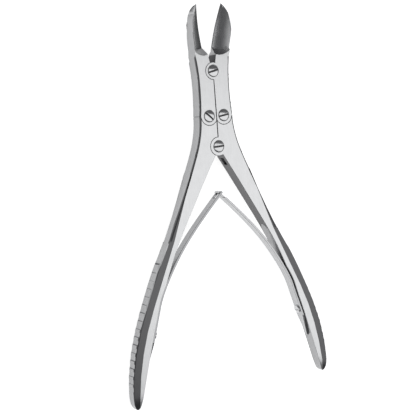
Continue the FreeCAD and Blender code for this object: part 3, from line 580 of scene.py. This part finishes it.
class FORCEPS_OT_jaws(Operator):
    """Both jaws: leaning blades, rounded edges, satin outside, ground hollows"""
    bl_idname = "forceps.jaws"
    bl_label = "Jaws"

    def execute(self, context):
        edges = settings()[1]
        low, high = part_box("jaw_pivot_screw")
        pivot_y = (low[1] + high[1]) / 2
        for side, sign in SIDES:
            node = side + "_jaw"
            mesh = merged_copy(node)
            front_lean = edges.left_blade_lean if side == "left" else 0.0
            lean_blade(mesh, sign, pivot_y, edges.blade_lean, front_lean)
            mesh.normal_update()
            for face in mesh.faces:
                face.material_index = JAW_FINISHES.index(jaw_finish(face, sign, pivot_y))
            round_outer_edges(mesh, sign, LINK_Y, pivot_y + BLADE_START, JAW_FINISHES.index("bevel"))
            round_edges(mesh, edges.body_rounding, edges.sharp_angle, edges.rounding_segments)
            piece = finish_piece(mesh, side + "_jaw_steel", node,
                                 finish_list(JAW_FINISHES, side), JAW_SMOOTHING)
            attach(piece, body_of_node(node))
        return {"FINISHED"}


class FORCEPS_OT_handles(Operator):
    """Both handles: broad crests, rounded ends and edges, satin steel"""
    bl_idname = "forceps.handles"
    bl_label = "Handles"

    def execute(self, context):
        edges = settings()[1]
        for side, sign in SIDES:
            node = side + "_handle"
            mesh = merged_copy(node)
            shape_grip(mesh, sign, edges.grip_breadth)
            mesh.normal_update()
            for face in mesh.faces:
                face.material_index = HANDLE_FINISHES.index(handle_finish(face, sign))
            round_outer_edges(mesh, sign, HANDLE_PIVOT.y - OUTER_FOOT, LINK_Y + MM,
                              HANDLE_FINISHES.index("bevel"))
            round_edges(mesh, edges.body_rounding, edges.sharp_angle, edges.rounding_segments)
            piece = finish_piece(mesh, side + "_handle_steel", node, finish_list(HANDLE_FINISHES))
            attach(piece, body_of_node(node))
        return {"FINISHED"}


def mark_slot(mesh, node):
    """Gives the faces inside the slot of a pivot screw the near black steel of painted shade."""
    low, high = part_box(node)
    if high[2] - low[2] < PIVOT_SCREW_LENGTH:
        return
    middle = (Vector(low) + Vector(high)) / 2
    radius = (high[0] - low[0]) / 2
    for face in mesh.faces:
        centre = face.calc_center_median()
        inside = math.hypot(centre.x - middle.x, centre.y - middle.y) < radius * SLOT_REACH
        floor = face.normal.z > 0.99 and centre.z < high[2] - SLOT_FLOOR_DEPTH
        wall = abs(face.normal.z) < 0.1 and centre.z > high[2] - SLOT_WALL_DEPTH and inside
        face.material_index = SCREW_FINISHES.index("slot" if floor or wall else "screw")


class FORCEPS_OT_screws(Operator):
    """The six slotted screws with softened heads and slots"""
    bl_idname = "forceps.screws"
    bl_label = "Screws"

    def execute(self, context):
        edges = settings()[1]
        for node in sorted(frame["nodes"]):
            if not node.endswith("_screw"):
                continue
            mesh = merged_copy(node)
            mark_slot(mesh, node)
            round_edges(mesh, edges.screw_rounding, edges.sharp_angle, edges.rounding_segments)
            piece = finish_piece(mesh, node + "_polished", node,
                                 finish_list(SCREW_FINISHES), SCREW_SMOOTHING)
            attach(piece, body_of_node(node))
        return {"FINISHED"}


def shorten_hook(mesh, side, left):
    """Draws the end of a spring back to just beyond the crossing."""
    crossing = HANDLE_PIVOT - Vector((0, SPRING_CROSSING, 0))
    ahead = Vector((-side * math.sqrt(0.5), math.sqrt(0.5), 0))
    for vertex in mesh.verts:
        beyond = (vertex.co - crossing).dot(ahead)
        if beyond > 0:
            vertex.co -= ahead * beyond * (1 - left)


class FORCEPS_OT_leaf_springs(Operator):
    """Both leaf springs, cut across between clamp and hooked end"""
    bl_idname = "forceps.leaf_springs"
    bl_label = "Leaf springs"

    def execute(self, context):
        edges = settings()[1]
        for side, sign in SIDES:
            node = side + "_leaf_spring"
            mesh = merged_copy(node)
            shorten_hook(mesh, sign, edges.hook_shortening)
            round_edges(mesh, edges.spring_rounding, edges.sharp_angle, edges.rounding_segments)
            low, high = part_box(node)
            start = HANDLE_PIVOT.y - edges.spring_clamp_drop
            cuts = int((high[1] - start) / edges.spring_step)
            cut_across(mesh, [start + index * edges.spring_step for index in range(1, cuts + 1)])
            piece = finish_piece(mesh, side + "_leaf_spring_strip", node, finish_list(["spring"], side))
            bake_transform(piece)
        return {"FINISHED"}


def camera_axes(stage):
    """Right, up and backward directions of the camera."""
    yaw, pitch, roll = stage.camera_yaw, stage.camera_pitch, stage.camera_roll
    back = Vector((-math.sin(yaw) * math.cos(pitch), -math.sin(pitch), math.cos(yaw) * math.cos(pitch)))
    level = Vector((math.cos(yaw), 0, math.sin(yaw)))
    up = back.cross(level)
    right = level * math.cos(roll) + up * math.sin(roll)
    return right, back.cross(right), back


def add_camera(stage):
    right, up, back = camera_axes(stage)
    data = bpy.data.cameras.new("photo_camera")
    data.sensor_width = 36
    data.lens = stage.camera_lens
    data.clip_start = 0.01
    camera = bpy.data.objects.new("photo_camera", data)
    bpy.context.scene.collection.objects.link(camera)
    turn = Matrix((right, up, back)).transposed().to_4x4()
    place = Vector(stage.camera_target) + back * stage.camera_distance
    camera.matrix_world = Matrix.Translation(place) @ turn
    bpy.context.scene.camera = camera


def add_soft_box(name, direction, width, height, power):
    """Area light that faces the origin from this direction."""
    data = bpy.data.lights.new(name, "AREA")
    data.shape = "RECTANGLE"
    data.size = width
    data.size_y = height
    data.energy = power
    lamp = bpy.data.objects.new(name, data)
    bpy.context.scene.collection.objects.link(lamp)
    place = Vector(direction).normalized() * LIGHT_DISTANCE
    lamp.matrix_world = Matrix.Translation(place) @ place.to_track_quat("Z", "Y").to_matrix().to_4x4()


def floor_material(color, glow_strength):
    """Pale matt floor that glows towards the camera and in reflections, and lights nothing."""
    material = bpy.data.materials.new("pale_floor")
    material.use_nodes = True
    tree = material.node_tree
    tree.nodes.clear()
    out = tree.nodes.new("ShaderNodeOutputMaterial")
    plain = tree.nodes.new("ShaderNodeBsdfDiffuse")
    plain.inputs["Color"].default_value = (*color, 1)
    glow = tree.nodes.new("ShaderNodeEmission")
    rays = tree.nodes.new("ShaderNodeLightPath")
    seen = math_node(tree, "MAXIMUM")
    link(tree, rays, "Is Camera Ray", seen, 0)
    link(tree, rays, "Is Glossy Ray", seen, 1)
    shown = math_node(tree, "MAXIMUM")
    link(tree, seen, 0, shown, 0)
    link(tree, rays, "Is Transmission Ray", shown, 1)
    strength = math_node(tree, "MULTIPLY", glow_strength)
    link(tree, shown, 0, strength, 0)
    link(tree, strength, 0, glow, "Strength")
    total = tree.nodes.new("ShaderNodeAddShader")
    link(tree, plain, "BSDF", total, 0)
    link(tree, glow, "Emission", total, 1)
    link(tree, total, "Shader", out, "Surface")
    return material


def add_floor(stage):
    mesh = bmesh.new()
    bmesh.ops.create_grid(mesh, x_segments=1, y_segments=1, size=FLOOR_REACH)
    bmesh.ops.translate(mesh, verts=mesh.verts, vec=(0, 0, -FLOOR_DROP))
    data = bpy.data.meshes.new("floor")
    mesh.to_mesh(data)
    mesh.free()
    floor = bpy.data.objects.new("floor", data)
    bpy.context.scene.collection.objects.link(floor)
    data.materials.append(floor_material(stage.floor_color, stage.floor_glow))


def add_surroundings():
    """Room seen in the steel: dim overhead, paler towards the floor, a pale wall; white for the camera."""
    world = bpy.data.worlds.new("studio")
    bpy.context.scene.world = world
    world.use_nodes = True
    tree = world.node_tree
    tree.nodes.clear()
    out = tree.nodes.new("ShaderNodeOutputWorld")
    direction = tree.nodes.new("ShaderNodeTexCoord")
    split = tree.nodes.new("ShaderNodeSeparateXYZ")
    link(tree, direction, "Generated", split, "Vector")
    room = tone_ramp(tree, ROOM_TONES)
    link(tree, split, "Z", room, "Fac")
    sideways = math_node(tree, "MULTIPLY_ADD", 0.5, 0.5)
    link(tree, split, "X", sideways, 0)
    wall = tone_ramp(tree, PALE_WALL)
    link(tree, sideways, 0, wall, "Fac")
    total = tree.nodes.new("ShaderNodeMix")
    total.data_type = "RGBA"
    total.blend_type = "ADD"
    total.inputs["Factor"].default_value = 1.0
    link(tree, room, "Color", total, 6)
    link(tree, wall, "Color", total, 7)
    reflected = tree.nodes.new("ShaderNodeBackground")
    link(tree, total, 2, reflected, "Color")
    white = tree.nodes.new("ShaderNodeBackground")
    white.inputs["Color"].default_value = (1, 1, 1, 1)
    rays = tree.nodes.new("ShaderNodeLightPath")
    mix = tree.nodes.new("ShaderNodeMixShader")
    link(tree, rays, "Is Camera Ray", mix, "Fac")
    link(tree, reflected, "Background", mix, 1)
    link(tree, white, "Background", mix, 2)
    link(tree, mix, "Shader", out, "Surface")


class FORCEPS_OT_stage(Operator):
    """Floor, soft light, surroundings and the camera at the photograph's angle"""
    bl_idname = "forceps.stage"
    bl_label = "Stage"

    def execute(self, context):
        stage = settings()[2]
        context.scene.view_settings.view_transform = "Standard"
        add_floor(stage)
        add_surroundings()
        add_soft_box("key_light", *KEY_LIGHT, stage.key_power)
        add_soft_box("fill_light", *FILL_LIGHT, stage.fill_power)
        add_camera(stage)
        return {"FINISHED"}


class VIEW3D_PT_forceps(Panel):
    """Lists the pieces of the forceps"""
    bl_label = "Bone cutting forceps"
    bl_space_type = "VIEW_3D"
    bl_region_type = "UI"
    bl_category = "Forceps"

    def draw(self, context):
        for operator in OPERATORS:
            self.layout.operator(operator.bl_idname)
        for group in settings():
            box = self.layout.box()
            for name in group.__annotations__:
                box.prop(group, name)


OPERATORS = (FORCEPS_OT_jaws, FORCEPS_OT_handles, FORCEPS_OT_screws, FORCEPS_OT_leaf_springs,
             FORCEPS_OT_stage)
CLASSES = (ForcepsSteel, ForcepsEdges, ForcepsStage, *OPERATORS, VIEW3D_PT_forceps)


def register():
    for item in CLASSES:
        bpy.utils.register_class(item)
    bpy.types.Scene.forceps_steel = PointerProperty(type=ForcepsSteel)
    bpy.types.Scene.forceps_edges = PointerProperty(type=ForcepsEdges)
    bpy.types.Scene.forceps_stage = PointerProperty(type=ForcepsStage)


def unregister():
    del bpy.types.Scene.forceps_stage
    del bpy.types.Scene.forceps_edges
    del bpy.types.Scene.forceps_steel
    for item in reversed(CLASSES):
        bpy.utils.unregister_class(item)


def main():
    register()
    bpy.ops.forceps.jaws()
    bpy.ops.forceps.handles()
    bpy.ops.forceps.screws()
    bpy.ops.forceps.leaf_springs()
    bpy.ops.forceps.stage()


if __name__ == "__main__":
    main()
